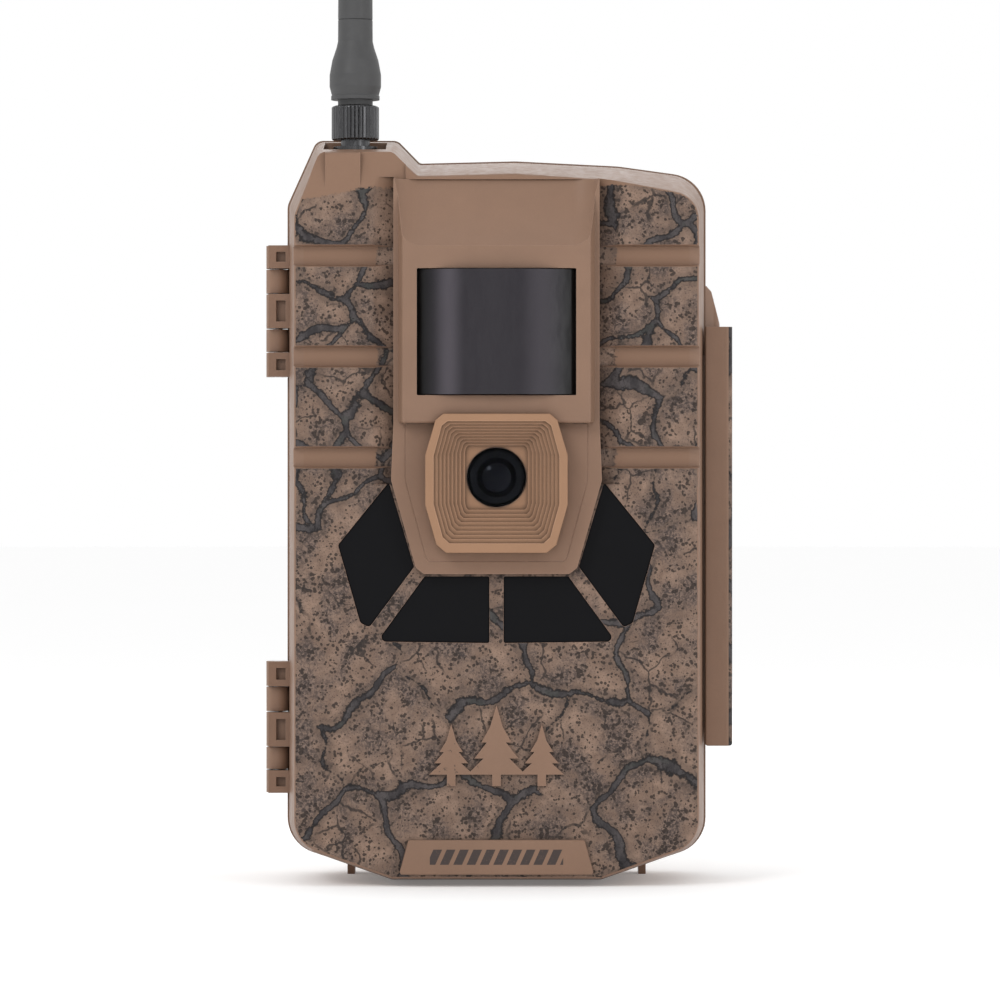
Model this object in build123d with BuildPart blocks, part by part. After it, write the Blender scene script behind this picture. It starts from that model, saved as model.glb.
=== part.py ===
from build123d import *
import os

os.makedirs("parts", exist_ok=True)

# Sizes in mm. +X is the viewer's right, -Y the front of the camera, +Z up.
# The origin is the mouth of the tripod socket in the bottom of the rear housing.

# Depths, front to back
BEZEL_Y = -46.0
POD_Y = -44.0
FRAME_Y = -40.0
RECESS_Y = -37.5
PAD_Y = -37.0
BAR_Y = -35.3
COVER_INNER_Y = -33.1
BAND_FRONT_Y = -16.0
COVER_BACK_Y = -13.05
PARTING_Y = -13.0
BAND_BACK_Y = -10.0
REAR_INNER_Y = 10.6
REAR_Y = 13.0
WALL = 2.4

# Body outlines as (x, z, corner radius), anticlockwise from the lower left
REAR_RIM = [(-44.85, 7.5, 8), (-22.4, 0, 2), (22.4, 0, 2), (44.85, 7.5, 8), (44.85, 150.2, 8),
            (26, 152.8, 20), (4, 153.9, 20), (-16.4, 153.4, 1.2), (-21.2, 158.3, 2.2),
            (-38.6, 158.3, 2.2), (-44.85, 144.4, 4)]
REAR_BACK = [(-41.35, 9.5, 8), (-22.0, 2, 2), (22.0, 2, 2), (41.35, 9.5, 8), (41.35, 147.0, 8),
             (25, 149.6, 20), (4, 150.7, 20), (-16.8, 150.2, 1.2), (-21.8, 155.2, 2.2),
             (-36.4, 155.2, 2.2), (-41.35, 142.2, 4)]
COVER_RIM = [(-44.35, 7.7, 8), (-22.4, 0, 2), (22.4, 0, 2), (44.35, 7.7, 8), (44.35, 149.8, 8),
             (26, 152.3, 20), (4, 153.4, 20), (-16.5, 152.9, 1.2), (-21.3, 157.8, 2.2),
             (-38.3, 157.8, 2.2), (-44.35, 144.2, 4)]
COVER_FACE = [(-42.5, 9.2, 7), (-22.0, 1.75, 2), (22.0, 1.75, 2), (42.5, 9.2, 7), (42.5, 145.0, 6),
              (25, 148.3, 20), (4, 149.75, 20), (-16.5, 149.2, 1.2), (-21.9, 154.2, 2),
              (-37.2, 154.2, 2), (-42.5, 141.0, 4)]

# Cover front
BAR_HEIGHTS = (132.6, 111.4, 90.2)
BAR_HALF = 2.0
POD_HALF = 21.6
POD_FACE_HALF = 19.7
POD_TOP = 148.6
SHELF_Z = 97.3
LENS_Z = 86.0
PIR_Z = 116.4
BEZEL_STEPS = 9
BEZEL_FLOOR_Y = -38.6

# Hinge on the left side
HINGE_X = -46.9
HINGE_Y = PARTING_Y
KNUCKLE_R = 2.5
PIN_R = 1.0
PIN_PLAY = 0.05
KNUCKLE_GAP = 0.15
HINGE_KNUCKLES = [(107.6, 112.8), (113.0, 117.8), (118.0, 125.3), (125.5, 130.6), (130.8, 135.7)]
LOWER_HINGE_KNUCKLES = [(18.6, 23.4), (23.6, 28.3), (28.5, 35.8), (36.0, 41.2), (41.4, 46.7)]

# Latch on the right side
LATCH_X = 46.0
LATCH_Y = 2.5
LATCH_PIN_R = 1.2
LATCH_BARREL_R = 2.5
LATCH_LOW = 28.9
LATCH_HIGH = 118.1
LATCH_BARREL_LOW = 36.0

# Antenna
ANTENNA_X = -30.0
ANTENNA_Y = -24.0
ANTENNA_TOP = 345.0
NUT_LOW = 157.6
NUT_HIGH = 164.9
NUT_R = 5.04
JACK_R = 3.1
JACK_SEAT_Z = 155.3

# Inside
PANEL_Y = -14.0
PANEL_THICK = 1.6
STEP_Z = 40.0
LOW_PANEL_Y = -24.6
BOARD_BACK_Y = -19.8
BOARD_FRONT_Y = -21.4
BUTTON_PLAY = 0.1
CELL_R = 7.25
CELL_COLUMNS = (-22.5, -7.5, 7.5, 22.5)
CELL_ROWS = (24.0, 79.9)
CELL_LENGTH = 49.3
PANEL_SCREWS = [(x, z) for x in (-38.8, 38.8) for z in (46.0, 95.0, 137.0)]
BUTTONS = {"button_up": (0, 71.5, 3.0), "button_down": (0, 52.5, 3.0), "button_left": (-9.5, 62, 3.0),
           "button_right": (9.5, 62, 3.0), "button_ok": (0, 62, 4.0), "button_menu": (24, 62, 3.0)}
BRACKET_SCREWS = [(x, z) for x in (-12.0, 12.0) for z in (52.0, 108.0)]
POWER_PINS = (44.5, 49.5)


def facing(y):
    """Plane at depth y that faces the front."""
    return Plane.XZ.offset(-y)


def outline(plane, corners):
    """Closed outline on a plane, each corner given as (u, v, radius)."""
    with BuildSketch(plane) as sketch:
        with BuildLine():
            FilletPolyline(*[(u, v) for u, v, r in corners], radius=[r for u, v, r in corners], close=True)
        make_face()
    return sketch.sketch


def sharp(plane, points):
    """Closed polygon on a plane."""
    with BuildSketch(plane) as sketch:
        with BuildLine():
            Polyline(*points, close=True)
        make_face()
    return sketch.sketch


def between(first, second, share):
    """Corner list part of the way from one outline to another."""
    return [tuple(a + (b - a) * share for a, b in zip(p, q)) for p, q in zip(first, second)]


def shrink(shape, inset):
    """Outline moved inwards by a wall thickness."""
    return offset(shape, amount=-inset, mode=Mode.PRIVATE)


def block(x, y, z, mode=Mode.ADD):
    """Box between pairs of coordinates."""
    with Locations(((x[0] + x[1]) / 2, (y[0] + y[1]) / 2, (z[0] + z[1]) / 2)):
        Box(x[1] - x[0], y[1] - y[0], z[1] - z[0], mode=mode)


def rod(axis, centre, radius, span, mode=Mode.ADD):
    """Cylinder along an axis, the centre given by the two other coordinates."""
    a, b = centre
    middle = (span[0] + span[1]) / 2
    if axis == "x":
        place = Location((middle, a, b), (0, 90, 0))
    elif axis == "y":
        place = Location((a, middle, b), (90, 0, 0))
    else:
        place = Location((a, b, middle))
    with Locations(place):
        Cylinder(radius, span[1] - span[0], mode=mode)


def prism(shape, amount, mode=Mode.ADD, taper=0):
    """Straight or drafted extrusion of a finished sketch."""
    extrude(to_extrude=shape, amount=amount, taper=taper, mode=mode)


def mirrored(points):
    """The same points on the other side of the middle plane, in the same turning sense."""
    return [(-x, *rest) for x, *rest in reversed(points)]


def save(piece, label):
    """Names a piece and writes its file."""
    piece.part.label = label
    export_step(piece.part, f"parts/{label}.step")


# ---------------------------------------------------------------- shared outlines
POD_OUTLINE = [(-21.6, 148.6, 0), (-21.6, 97.3, 0), (-22.1, 85.4, 2), (-16.9, 67.0, 1.2),
               (-15.2, 65.7, 1), (15.2, 65.7, 1), (16.9, 67.0, 1.2), (22.1, 85.4, 2),
               (21.6, 97.3, 0), (21.6, 148.6, 0)]
FRAME_INNER = [(-19.2, 97.3, 0.4), (-19.2, 85.4, 2), (-14.8, 68.9, 0.8), (-14.2, 68.3, 0.4),
               (14.2, 68.3, 0.4), (14.8, 68.9, 0.8), (19.2, 85.4, 2), (19.2, 97.3, 0.4)]
BEZEL_OUTER = [(-11.1, 99.25, 0.5), (-12.7, 97.9, 0.5), (-14.85, 90.6, 1), (-14.85, 80.2, 1),
               (-12.5, 71.9, 0.5), (-10.5, 70.2, 0.5), (10.5, 70.2, 0.5), (12.5, 71.9, 0.5),
               (14.85, 80.2, 1), (14.85, 90.6, 1), (12.7, 97.9, 0.5), (11.1, 99.25, 0.5)]
BEZEL_MOUTH = [(-10.2, 97.65, 0.3), (-11.4, 96.7, 0.3), (-13.1, 90.4, 0.8), (-13.1, 80.4, 0.8),
               (-11.2, 73.5, 0.3), (-9.8, 72.2, 0.3), (9.8, 72.2, 0.3), (11.2, 73.5, 0.3),
               (13.1, 80.4, 0.8), (13.1, 90.4, 0.8), (11.4, 96.7, 0.3), (10.2, 97.65, 0.3)]
BEZEL_FLOOR = [(-5.9, 92.7, 0.2), (-6.3, 92.3, 0.2), (-6.6, 91.4, 0.2), (-6.6, 80.6, 0.2),
               (-6.3, 79.6, 0.2), (-5.9, 79.2, 0.2), (5.9, 79.2, 0.2), (6.3, 79.6, 0.2),
               (6.6, 80.6, 0.2), (6.6, 91.4, 0.2), (6.3, 92.3, 0.2), (5.9, 92.7, 0.2)]
IR_OUTER = [(-22.6, 85.0, 0.4), (-33.3, 71.8, 0.8), (-28.6, 55.4, 1.2), (-26.7, 54.5, 0.8), (-17.3, 67.2, 0.4)]
IR_INNER = [(-15.1, 65.2, 0.4), (-25.1, 51.5, 1.0), (-1.5, 51.2, 0.4), (-1.5, 65.2, 0.4)]
IR_WINDOWS = {"ir_window_outer_left": IR_OUTER, "ir_window_inner_left": IR_INNER,
              "ir_window_inner_right": mirrored(IR_INNER), "ir_window_outer_right": mirrored(IR_OUTER)}
PLAQUE = [(-18.5, 9.9, 0.6), (-20.5, 2.6, 0.6), (20.5, 2.6, 0.6), (18.5, 9.9, 0.6)]


# ---------------------------------------------------------------- rear housing
def hinge_arm(side, z):
    """Round knuckle and the web that ties it to the wall, front (-1) or rear (+1) of the hinge axis."""
    rod("z", (HINGE_X, HINGE_Y), KNUCKLE_R, z)
    near = HINGE_Y
    far = HINGE_Y + side * 4.0
    left = HINGE_X - (1.9 if side < 0 else 0.0)
    prism(sharp(Plane.XY.offset(z[0]), [(left, near), (-43.6, near), (-43.6, far), (left, far)]), z[1] - z[0])


rear_rim_wall = shrink(outline(facing(PARTING_Y), REAR_RIM), WALL)
rear_back_wall = shrink(outline(facing(REAR_INNER_Y), REAR_BACK), WALL)
with BuildPart() as rear_housing:
    prism(outline(facing(PARTING_Y), REAR_RIM), PARTING_Y - BAND_BACK_Y)
    loft(sections=[outline(facing(BAND_BACK_Y), REAR_RIM), outline(facing(REAR_Y), REAR_BACK)])
    fillet(rear_housing.faces().sort_by(Axis.Y)[-1].edges(), radius=2.0)
    loft(sections=[rear_rim_wall, rear_back_wall], mode=Mode.SUBTRACT)
    rod("z", (0, 0), 8.0, (0, 11.0))
    for x in (-31.6, 31.6):
        block((x - 0.8, x + 0.8), (1.0, 7.0), (0, 7.0))
    for x, z in BRACKET_SCREWS:
        rod("y", (x, z), 3.5, (9.7, 11.0))
        rod("y", (x, z), 1.5, (9.7, 14.0), mode=Mode.SUBTRACT)
    # Relief around the cover's knuckles, then the rear knuckles
    for stack in (HINGE_KNUCKLES, LOWER_HINGE_KNUCKLES):
        for z in (stack[0], stack[2], stack[4]):
            rod("z", (HINGE_X, HINGE_Y), KNUCKLE_R + 0.4, (z[0] - KNUCKLE_GAP, z[1] + KNUCKLE_GAP),
                mode=Mode.SUBTRACT)
        for z in (stack[1], stack[3]):
            hinge_arm(1, z)
            rod("z", (HINGE_X, HINGE_Y), PIN_R, z, mode=Mode.SUBTRACT)
    # Latch lugs: a long one with a rounded top above the lever and a hidden one below its barrel
    for low, high in ((LATCH_HIGH + 0.3, 127.6), (29.5, LATCH_BARREL_LOW - 0.2)):
        rod("z", (LATCH_X, LATCH_Y), LATCH_BARREL_R, (low, high))
        prism(sharp(Plane.XY.offset(low), [(41.0, -3.0), (44.6, -3.0), (LATCH_X + 2.4, 1.9),
                                           (LATCH_X, 5.0), (41.0, 7.0)]), high - low)
    rod("z", (LATCH_X, LATCH_Y), LATCH_PIN_R, (30.5, 125.0), mode=Mode.SUBTRACT)
    prism(sharp(facing(8.0), [(44.5, 128.6), (46.6, 126.4), (48.6, 119.0), (52.0, 119.0), (52.0, 129.0)]),
          14.0, mode=Mode.SUBTRACT)
    # Flat seat and bore of the outside power socket
    block((39.6, 43.0), (-6.5, 9.0), (9.5, 22.5))
    block((43.0, 46.0), (-7.0, 9.6), (9.0, 23.0), mode=Mode.SUBTRACT)
    rod("x", (0, 16.0), 4.6, (30.0, 44.0), mode=Mode.SUBTRACT)
    # Groove of the main seal and the bore of the tripod insert
    prism(shrink(outline(facing(PARTING_Y), REAR_RIM), 0.8), -2.0, mode=Mode.SUBTRACT)
    prism(shrink(outline(facing(PARTING_Y), REAR_RIM), 1.7), -2.0)
    prism(rear_rim_wall, -2.5, mode=Mode.SUBTRACT)
    rod("z", (0, 0), 4.3, (0, 9.0), mode=Mode.SUBTRACT)
save(rear_housing, "rear_housing")

with BuildPart() as main_gasket:
    prism(shrink(outline(facing(PARTING_Y), REAR_RIM), 0.8), -2.0)
    prism(shrink(outline(facing(PARTING_Y), REAR_RIM), 1.7), -2.0, mode=Mode.SUBTRACT)
save(main_gasket, "main_gasket")

with BuildPart() as tripod_insert:
    rod("z", (0, 0), 4.3, (0, 9.0))
    rod("z", (0, 0), 2.55, (0, 8.0), mode=Mode.SUBTRACT)
save(tripod_insert, "tripod_insert")

with BuildPart() as hinge_pins:
    for stack in (HINGE_KNUCKLES, LOWER_HINGE_KNUCKLES):
        rod("z", (HINGE_X, HINGE_Y), PIN_R, (stack[0][0], stack[4][1]))
save(hinge_pins, "hinge_pins")

with BuildPart() as latch_pin:
    rod("z", (LATCH_X, LATCH_Y), LATCH_PIN_R, (30.5, 125.0))
save(latch_pin, "latch_pin")

with BuildPart() as dc_jack:
    rod("x", (0, 16.0), 4.6, (31.0, 42.8))
    rod("x", (0, 16.0), 2.8, (34.0, 43.0), mode=Mode.SUBTRACT)
    rod("x", (0, 16.0), 1.0, (33.0, 41.5))
save(dc_jack, "dc_jack")

with BuildPart() as dc_plug:
    rod("x", (0, 16.0), 6.0, (43.1, 45.1))
    fillet(dc_plug.edges().filter_by(GeomType.CIRCLE).sort_by(Axis.X)[-1], radius=0.5)
    block((43.1, 44.5), (0, 8.0), (13.0, 19.0))
    rod("z", (43.9, 8.2), 0.8, (13.0, 19.0))
save(dc_plug, "dc_plug")

# ---------------------------------------------------------------- rear bracket
RAIL_TEETH = [(16.0, 36.0), (24.0, 36.0)]
for step in range(11):
    RAIL_TEETH += [(27.5, 40.0 + step * 8.0), (24.5, 44.0 + step * 8.0)]
RAIL_TEETH += [(24.0, 124.0), (16.0, 124.0)]
with BuildPart() as rear_bracket:
    block((-30, 30), (REAR_Y, 16.2), (36, 124))
    for x in (-30.0, 20.0):
        prism(sharp(Plane.YZ.offset(x), RAIL_TEETH), 10.0)
    block((-31, 31), (17.4, 22.0), (66.5, 93.5), mode=Mode.SUBTRACT)
    rod("x", (20.6, 108.0), 3.6, (-31, 31), mode=Mode.SUBTRACT)
    for x, z in BRACKET_SCREWS:
        rod("y", (x, z), 1.6, (12.0, 17.0), mode=Mode.SUBTRACT)
        rod("y", (x, z), 3.1, (14.4, 17.0), mode=Mode.SUBTRACT)
save(rear_bracket, "rear_bracket")

with BuildPart() as bracket_screws:
    for x, z in BRACKET_SCREWS:
        rod("y", (x, z), 1.5, (9.9, 14.6))
        rod("y", (x, z), 2.9, (14.4, 16.0))
        block((x - 0.4, x + 0.4), (15.2, 16.2), (z - 2.0, z + 2.0), mode=Mode.SUBTRACT)
        block((x - 2.0, x + 2.0), (15.2, 16.2), (z - 0.4, z + 0.4), mode=Mode.SUBTRACT)
save(bracket_screws, "bracket_screws")

# ---------------------------------------------------------------- batteries
with BuildPart() as battery_tray:
    block((-33, 33), (-7.0, 9.5), (21.0, 135.5))
    block((-37.5, -33), (-8.0, 9.5), (40.0, 54.0))
    for x in CELL_COLUMNS:
        for low in CELL_ROWS:
            block((x - 7.45, x + 7.45), (-8.0, 0.5), (low, low + 52.1), mode=Mode.SUBTRACT)
            rod("z", (x, 0.5), 7.45, (low, low + 52.1), mode=Mode.SUBTRACT)
save(battery_tray, "battery_tray")

with BuildPart() as aa_cells:
    for x in CELL_COLUMNS:
        for low in CELL_ROWS:
            rod("z", (x, 0.5), CELL_R, (low + 1.2, low + 1.2 + CELL_LENGTH))
            rod("z", (x, 0.5), 2.7, (low + 1.0 + CELL_LENGTH, low + 2.4 + CELL_LENGTH))
save(aa_cells, "aa_cells")

with BuildPart() as spring_contacts:
    for x in CELL_COLUMNS:
        for low in CELL_ROWS:
            leaf = [(-2.5, low), (3.5, low), (3.5, low + 0.3), (1.0, low + 1.2), (0, low + 1.2), (-2.5, low + 0.3)]
            prism(sharp(Plane.YZ.offset(x - 2.5), leaf), 5.0)
save(spring_contacts, "spring_contacts")

with BuildPart() as plate_contacts:
    for x in CELL_COLUMNS:
        for low in CELL_ROWS:
            block((x - 3.5, x + 3.5), (-2.5, 3.5), (low + 51.7, low + 52.1))
save(plate_contacts, "plate_contacts")

with BuildPart() as contact_pads:
    for z in POWER_PINS:
        rod("y", (-35.2, z), 1.9, (-8.5, -8.0))
save(contact_pads, "contact_pads")

# ---------------------------------------------------------------- latch lever
with BuildPart() as latch_lever:
    lever = [(44.4, -22.6, 0.3), (50.2, -22.6, 1.4), (50.2, -3.0, 3), (48.5, 2.5, 0), (47.2, 0.2, 0.5),
             (47.7, -3.0, 1), (47.7, -20.8, 0.4), (44.4, -20.8, 0.3)]
    prism(outline(Plane.XY.offset(LATCH_LOW), lever), LATCH_HIGH - LATCH_LOW)
    block((44.0, 51.0), (-0.2, 5.5), (LATCH_LOW - 1, LATCH_BARREL_LOW), mode=Mode.SUBTRACT)
    fillet(latch_lever.edges().filter_by(Axis.X).filter_by_position(Axis.Z, LATCH_LOW, LATCH_LOW).sort_by(Axis.Y)[:1],
           radius=0.6)
    rod("z", (LATCH_X, LATCH_Y), LATCH_BARREL_R, (LATCH_BARREL_LOW, LATCH_HIGH))
    rod("z", (LATCH_X, LATCH_Y), LATCH_PIN_R + 0.05, (LATCH_LOW, LATCH_HIGH), mode=Mode.SUBTRACT)
save(latch_lever, "latch_lever")

# ---------------------------------------------------------------- front cover
cover_rim = outline(facing(COVER_BACK_Y), COVER_RIM)
cover_rim_wall = shrink(outline(facing(COVER_BACK_Y + 0.5), COVER_RIM), WALL)
wall_share = (BAND_FRONT_Y - COVER_INNER_Y) / (BAND_FRONT_Y - PAD_Y)
cover_face_wall = shrink(outline(facing(COVER_INNER_Y), between(COVER_RIM, COVER_FACE, wall_share)), WALL)
cover_band_wall = shrink(outline(facing(BAND_FRONT_Y), COVER_RIM), WALL)

with BuildPart() as front_cover:
    prism(cover_rim, COVER_BACK_Y - BAND_FRONT_Y)
    loft(sections=[outline(facing(BAND_FRONT_Y), COVER_RIM), outline(facing(PAD_Y), COVER_FACE)])
    fillet(front_cover.faces().sort_by(Axis.Y)[0].edges(), radius=0.8)
    prism(cover_rim_wall, 0.5 + COVER_BACK_Y - BAND_FRONT_Y, mode=Mode.SUBTRACT)
    loft(sections=[cover_band_wall, cover_face_wall], mode=Mode.SUBTRACT)
    # Channels between the raised pads, with a slanted end at the side of the body
    for z in BAR_HEIGHTS:
        channel = [(-38.0, z + BAR_HALF + 0.5), (-38.0, z - BAR_HALF - 0.6), (BAR_Y, z - BAR_HALF + 0.1),
                   (BAR_Y, z + BAR_HALF - 0.1)]
        for x in (-46.0, 20.0):
            prism(sharp(Plane.YZ.offset(x), channel), 26.0, mode=Mode.SUBTRACT)
        ramp = [(-45.0, -38.0), (-40.6, -38.0), (-40.6, BAR_Y), (-45.0, -33.6)]
        for side in (ramp, mirrored(ramp)):
            prism(sharp(Plane.XY.offset(z - BAR_HALF + 0.1), side), 2 * BAR_HALF - 0.2, mode=Mode.SUBTRACT)
    # Pads slope down to the wall of the sensor pod
    slope = [(-26.0, -39.0), (-26.0, PAD_Y - 0.02), (-21.5, BAR_Y), (-21.5, -39.0)]
    for side in (slope, mirrored(slope)):
        prism(sharp(Plane.XY.offset(84.5), side), 64.6, mode=Mode.SUBTRACT)
    # Seat of the pod, and the openings behind it
    prism(outline(facing(BAR_Y), POD_OUTLINE), 5.0, mode=Mode.SUBTRACT)
    rod("y", (0, LENS_Z), 6.2, (-36.0, -32.0), mode=Mode.SUBTRACT)
    block((-15, 15), (-36.0, -32.0), (105.5, 127.5), mode=Mode.SUBTRACT)
    # Shoulder under the antenna: leaning side facets and the pocket of the jack
    facet = [(-38.0, 147.0), (-37.0, 147.0), (-35.3, 155.5), (-38.0, 155.5)]
    for x, width in ((-45.0, 9.0), (-28.6, 9.5)):
        prism(sharp(Plane.YZ.offset(x), facet), width, mode=Mode.SUBTRACT)
    block((-36.6, -23.4), (-31.0, -17.4), (JACK_SEAT_Z, 162.0), mode=Mode.SUBTRACT)
    rod("z", (ANTENNA_X, ANTENNA_Y), JACK_R, (150.0, 157.0), mode=Mode.SUBTRACT)
    # Pockets and light openings of the infrared windows
    for corners in IR_WINDOWS.values():
        prism(outline(facing(BAR_Y), corners), 3.0, mode=Mode.SUBTRACT)
        prism(shrink(outline(facing(-32.0), corners), 1.5), 4.0, mode=Mode.SUBTRACT)
    # Screw bosses
    for x, z in PANEL_SCREWS:
        rod("y", (x, z), 2.3, (COVER_INNER_Y - 0.5, PANEL_Y - PANEL_THICK))
        rod("y", (x, z), 1.2, (-27.0, PANEL_Y), mode=Mode.SUBTRACT)
    # Catch rib behind the latch hook
    prism(sharp(Plane.XY.offset(34.0), [(42.6, -20.6), (46.2, -20.6), (46.2, -19.4), (43.8, -16.4),
                                        (42.6, -16.4)]), 78.0)
    # Hinge
    for stack in (HINGE_KNUCKLES, LOWER_HINGE_KNUCKLES):
        for z in (stack[1], stack[3]):
            rod("z", (HINGE_X, HINGE_Y), KNUCKLE_R + 0.4, (z[0] - KNUCKLE_GAP, z[1] + KNUCKLE_GAP),
                mode=Mode.SUBTRACT)
        for z in (stack[0], stack[2], stack[4]):
            hinge_arm(-1, z)
            block((-47.1, -45.1), (-18.0, -15.7), (z[0] + 1.4, z[1] - 1.4), mode=Mode.SUBTRACT)
            rod("z", (HINGE_X, HINGE_Y), PIN_R + PIN_PLAY, z, mode=Mode.SUBTRACT)
save(front_cover, "front_cover")

# ---------------------------------------------------------------- sensor pod
with BuildPart() as scoop:
    with BuildSketch(Plane.YZ.offset(-22.0)) as scoop_side:
        with BuildLine():
            ThreePointArc((-36.2, 149.4), (-39.4, 141.4), (POD_Y, 134.4))
            Polyline((POD_Y, 134.4), (-52.0, 134.4), (-52.0, 153.0), (-36.2, 153.0), (-36.2, 149.4))
        make_face()
    extrude(amount=44.0)
    fillet(scoop.edges().filter_by(GeomType.CIRCLE), radius=6.0)

with BuildPart() as sensor_pod:
    prism(outline(facing(BAR_Y), POD_OUTLINE), BAR_Y - FRAME_Y)
    pod_base = [(-POD_HALF, POD_TOP), (-POD_HALF, SHELF_Z), (POD_HALF, SHELF_Z), (POD_HALF, POD_TOP)]
    pod_face = [(-POD_FACE_HALF, POD_TOP), (-POD_FACE_HALF, SHELF_Z), (POD_FACE_HALF, SHELF_Z),
                (POD_FACE_HALF, POD_TOP)]
    loft(sections=[sharp(facing(BAR_Y - 0.5), pod_base), sharp(facing(POD_Y), pod_face)])
    fillet(sensor_pod.edges().filter_by_position(Axis.Y, POD_Y, POD_Y).filter_by(Axis.Z), radius=0.6)
    fillet(sensor_pod.edges().filter_by_position(Axis.Y, POD_Y, POD_Y).filter_by(Axis.X).sort_by(Axis.Z)[0],
           radius=0.6)
    add(scoop.part, mode=Mode.SUBTRACT)
    prism(outline(facing(RECESS_Y), FRAME_INNER), 2.49, mode=Mode.SUBTRACT)
    prism(outline(facing(RECESS_Y), BEZEL_OUTER), 12.0, mode=Mode.SUBTRACT)
    block((-17.6, 17.6), (-42.0, -35.0), (101.2, 131.6), mode=Mode.SUBTRACT)
    prism(outline(facing(-41.0), [(-16.65, 129.65, 0.3), (-16.65, 103.1, 0.3), (16.65, 103.1, 0.3),
                                  (16.65, 129.65, 0.3)]), 5.0, mode=Mode.SUBTRACT)
    rod("y", (0, LENS_Z), 6.2, (-38.0, -35.0), mode=Mode.SUBTRACT)
save(sensor_pod, "sensor_pod")

with BuildPart() as lens_bezel:
    prism(outline(facing(RECESS_Y), BEZEL_OUTER), RECESS_Y - BEZEL_Y)
    fillet(lens_bezel.faces().sort_by(Axis.Y)[0].edges(), radius=0.3)
    for step in range(BEZEL_STEPS):
        mouth = between(BEZEL_MOUTH, BEZEL_FLOOR, step / (BEZEL_STEPS - 1))
        depth = (BEZEL_FLOOR_Y - BEZEL_Y) * (step + 1) / BEZEL_STEPS
        prism(outline(facing(BEZEL_Y + depth), mouth), depth + 1.0, mode=Mode.SUBTRACT)
    rod("y", (0, LENS_Z), 6.3, (-40.0, -37.0), mode=Mode.SUBTRACT)
save(lens_bezel, "lens_bezel")

with BuildPart() as lens_window:
    rod("y", (0, LENS_Z), 6.3, (-38.9, -37.6))
save(lens_window, "lens_window")

with BuildPart() as lens_barrel:
    rod("y", (0, LENS_Z), 5.6, (-37.3, -26.6))
    rod("y", (0, LENS_Z), 4.2, (-37.3, -34.5), mode=Mode.SUBTRACT)
    rod("y", (0, LENS_Z), 3.0, (-35.0, -26.0), mode=Mode.SUBTRACT)
save(lens_barrel, "lens_barrel")

with BuildPart() as front_lens:
    with BuildSketch(Plane.XY.offset(LENS_Z)) as lens_section:
        with BuildLine():
            ThreePointArc((0, -37.1), (2.2, -36.75), (4.2, -35.7))
            Polyline((4.2, -35.7), (4.2, -34.5), (0, -34.5), (0, -37.1))
        make_face()
    revolve(axis=Axis((0, 0, LENS_Z), (0, 1, 0)), revolution_arc=360)
save(front_lens, "front_lens")

with BuildPart() as lens_holder:
    block((-13, 13), (-28.0, -22.6), (77.5, 94.5))
    block((-11.5, 11.5), (-26.6, -22.0), (LENS_Z - 4.85, LENS_Z + 4.85), mode=Mode.SUBTRACT)
    rod("y", (0, LENS_Z), 5.6, (-29.0, -26.6), mode=Mode.SUBTRACT)
save(lens_holder, "lens_holder")

with BuildPart() as ir_cut_filter:
    block((-4.8, 4.8), (-26.0, -25.2), (LENS_Z - 4.8, LENS_Z + 4.8))
save(ir_cut_filter, "ir_cut_filter")

with BuildPart() as sensor_board:
    block((-13, 13), (-22.6, BOARD_FRONT_Y), (77.5, 94.5))
save(sensor_board, "sensor_board")

with BuildPart() as image_sensor:
    block((-3.2, 3.2), (-23.5, -22.6), (LENS_Z - 2.6, LENS_Z + 2.6))
save(image_sensor, "image_sensor")

# ---------------------------------------------------------------- motion sensor
with BuildPart() as pir_window:
    with BuildSketch(Plane.XY.offset(101.4)) as curved_band:
        with BuildLine():
            ThreePointArc((-16.5, -42.6), (0, -46.4), (16.5, -42.6))
            Line((16.5, -42.6), (16.5, -41.2))
            ThreePointArc((16.5, -41.2), (0, -45.2), (-16.5, -41.2))
            Line((-16.5, -41.2), (-16.5, -42.6))
        make_face()
    extrude(amount=30.0)
    block((-20, 20), (-50.0, -41.99), (100.0, 103.3), mode=Mode.SUBTRACT)
    block((-20, 20), (-50.0, -41.99), (129.45, 133.0), mode=Mode.SUBTRACT)
    block((-17.5, -16.0), (-41.99, -40.8), (101.4, 131.4))
    block((16.0, 17.5), (-41.99, -40.8), (101.4, 131.4))
save(pir_window, "pir_window")

with BuildPart() as pir_board:
    block((-17.4, 17.4), (COVER_INNER_Y, -31.9), (103.0, 130.0))
save(pir_board, "pir_board")

with BuildPart() as pir_sensor:
    rod("y", (0, PIR_Z), 4.6, (-37.4, COVER_INNER_Y))
    block((-2.0, 2.0), (-38.0, -37.0), (PIR_Z - 1.5, PIR_Z + 1.5), mode=Mode.SUBTRACT)
save(pir_sensor, "pir_sensor")

# ---------------------------------------------------------------- infrared lamps
for label, corners in IR_WINDOWS.items():
    with BuildPart() as ir_window:
        prism(outline(facing(BAR_Y), corners), 1.3)
        fillet(ir_window.faces().sort_by(Axis.Y)[0].edges(), radius=0.15)
    save(ir_window, label)

LED_SPOTS = [(25.2, 75.5), (29.2, 73.0), (24.6, 70.3), (20.6, 68.5), (28.6, 67.6), (24.3, 64.6),
             (27.6, 62.7), (26.8, 59.2), (14.0, 61.4), (9.5, 61.4), (5.0, 61.4), (18.5, 55.0),
             (14.0, 55.0), (9.5, 55.0), (5.0, 55.0)]
LED_SPOTS = [(side * x, z) for side in (1, -1) for x, z in LED_SPOTS]
with BuildPart() as ir_leds:
    for x, z in LED_SPOTS:
        rod("y", (x, z), 0.9, (-35.2, COVER_INNER_Y))
save(ir_leds, "ir_leds")

with BuildPart() as led_board:
    block((-35, 35), (COVER_INNER_Y, -31.9), (49.6, 76.5))
    rod("y", (0, LENS_Z), 12.0, (-34.0, -31.0), mode=Mode.SUBTRACT)
save(led_board, "led_board")

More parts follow.
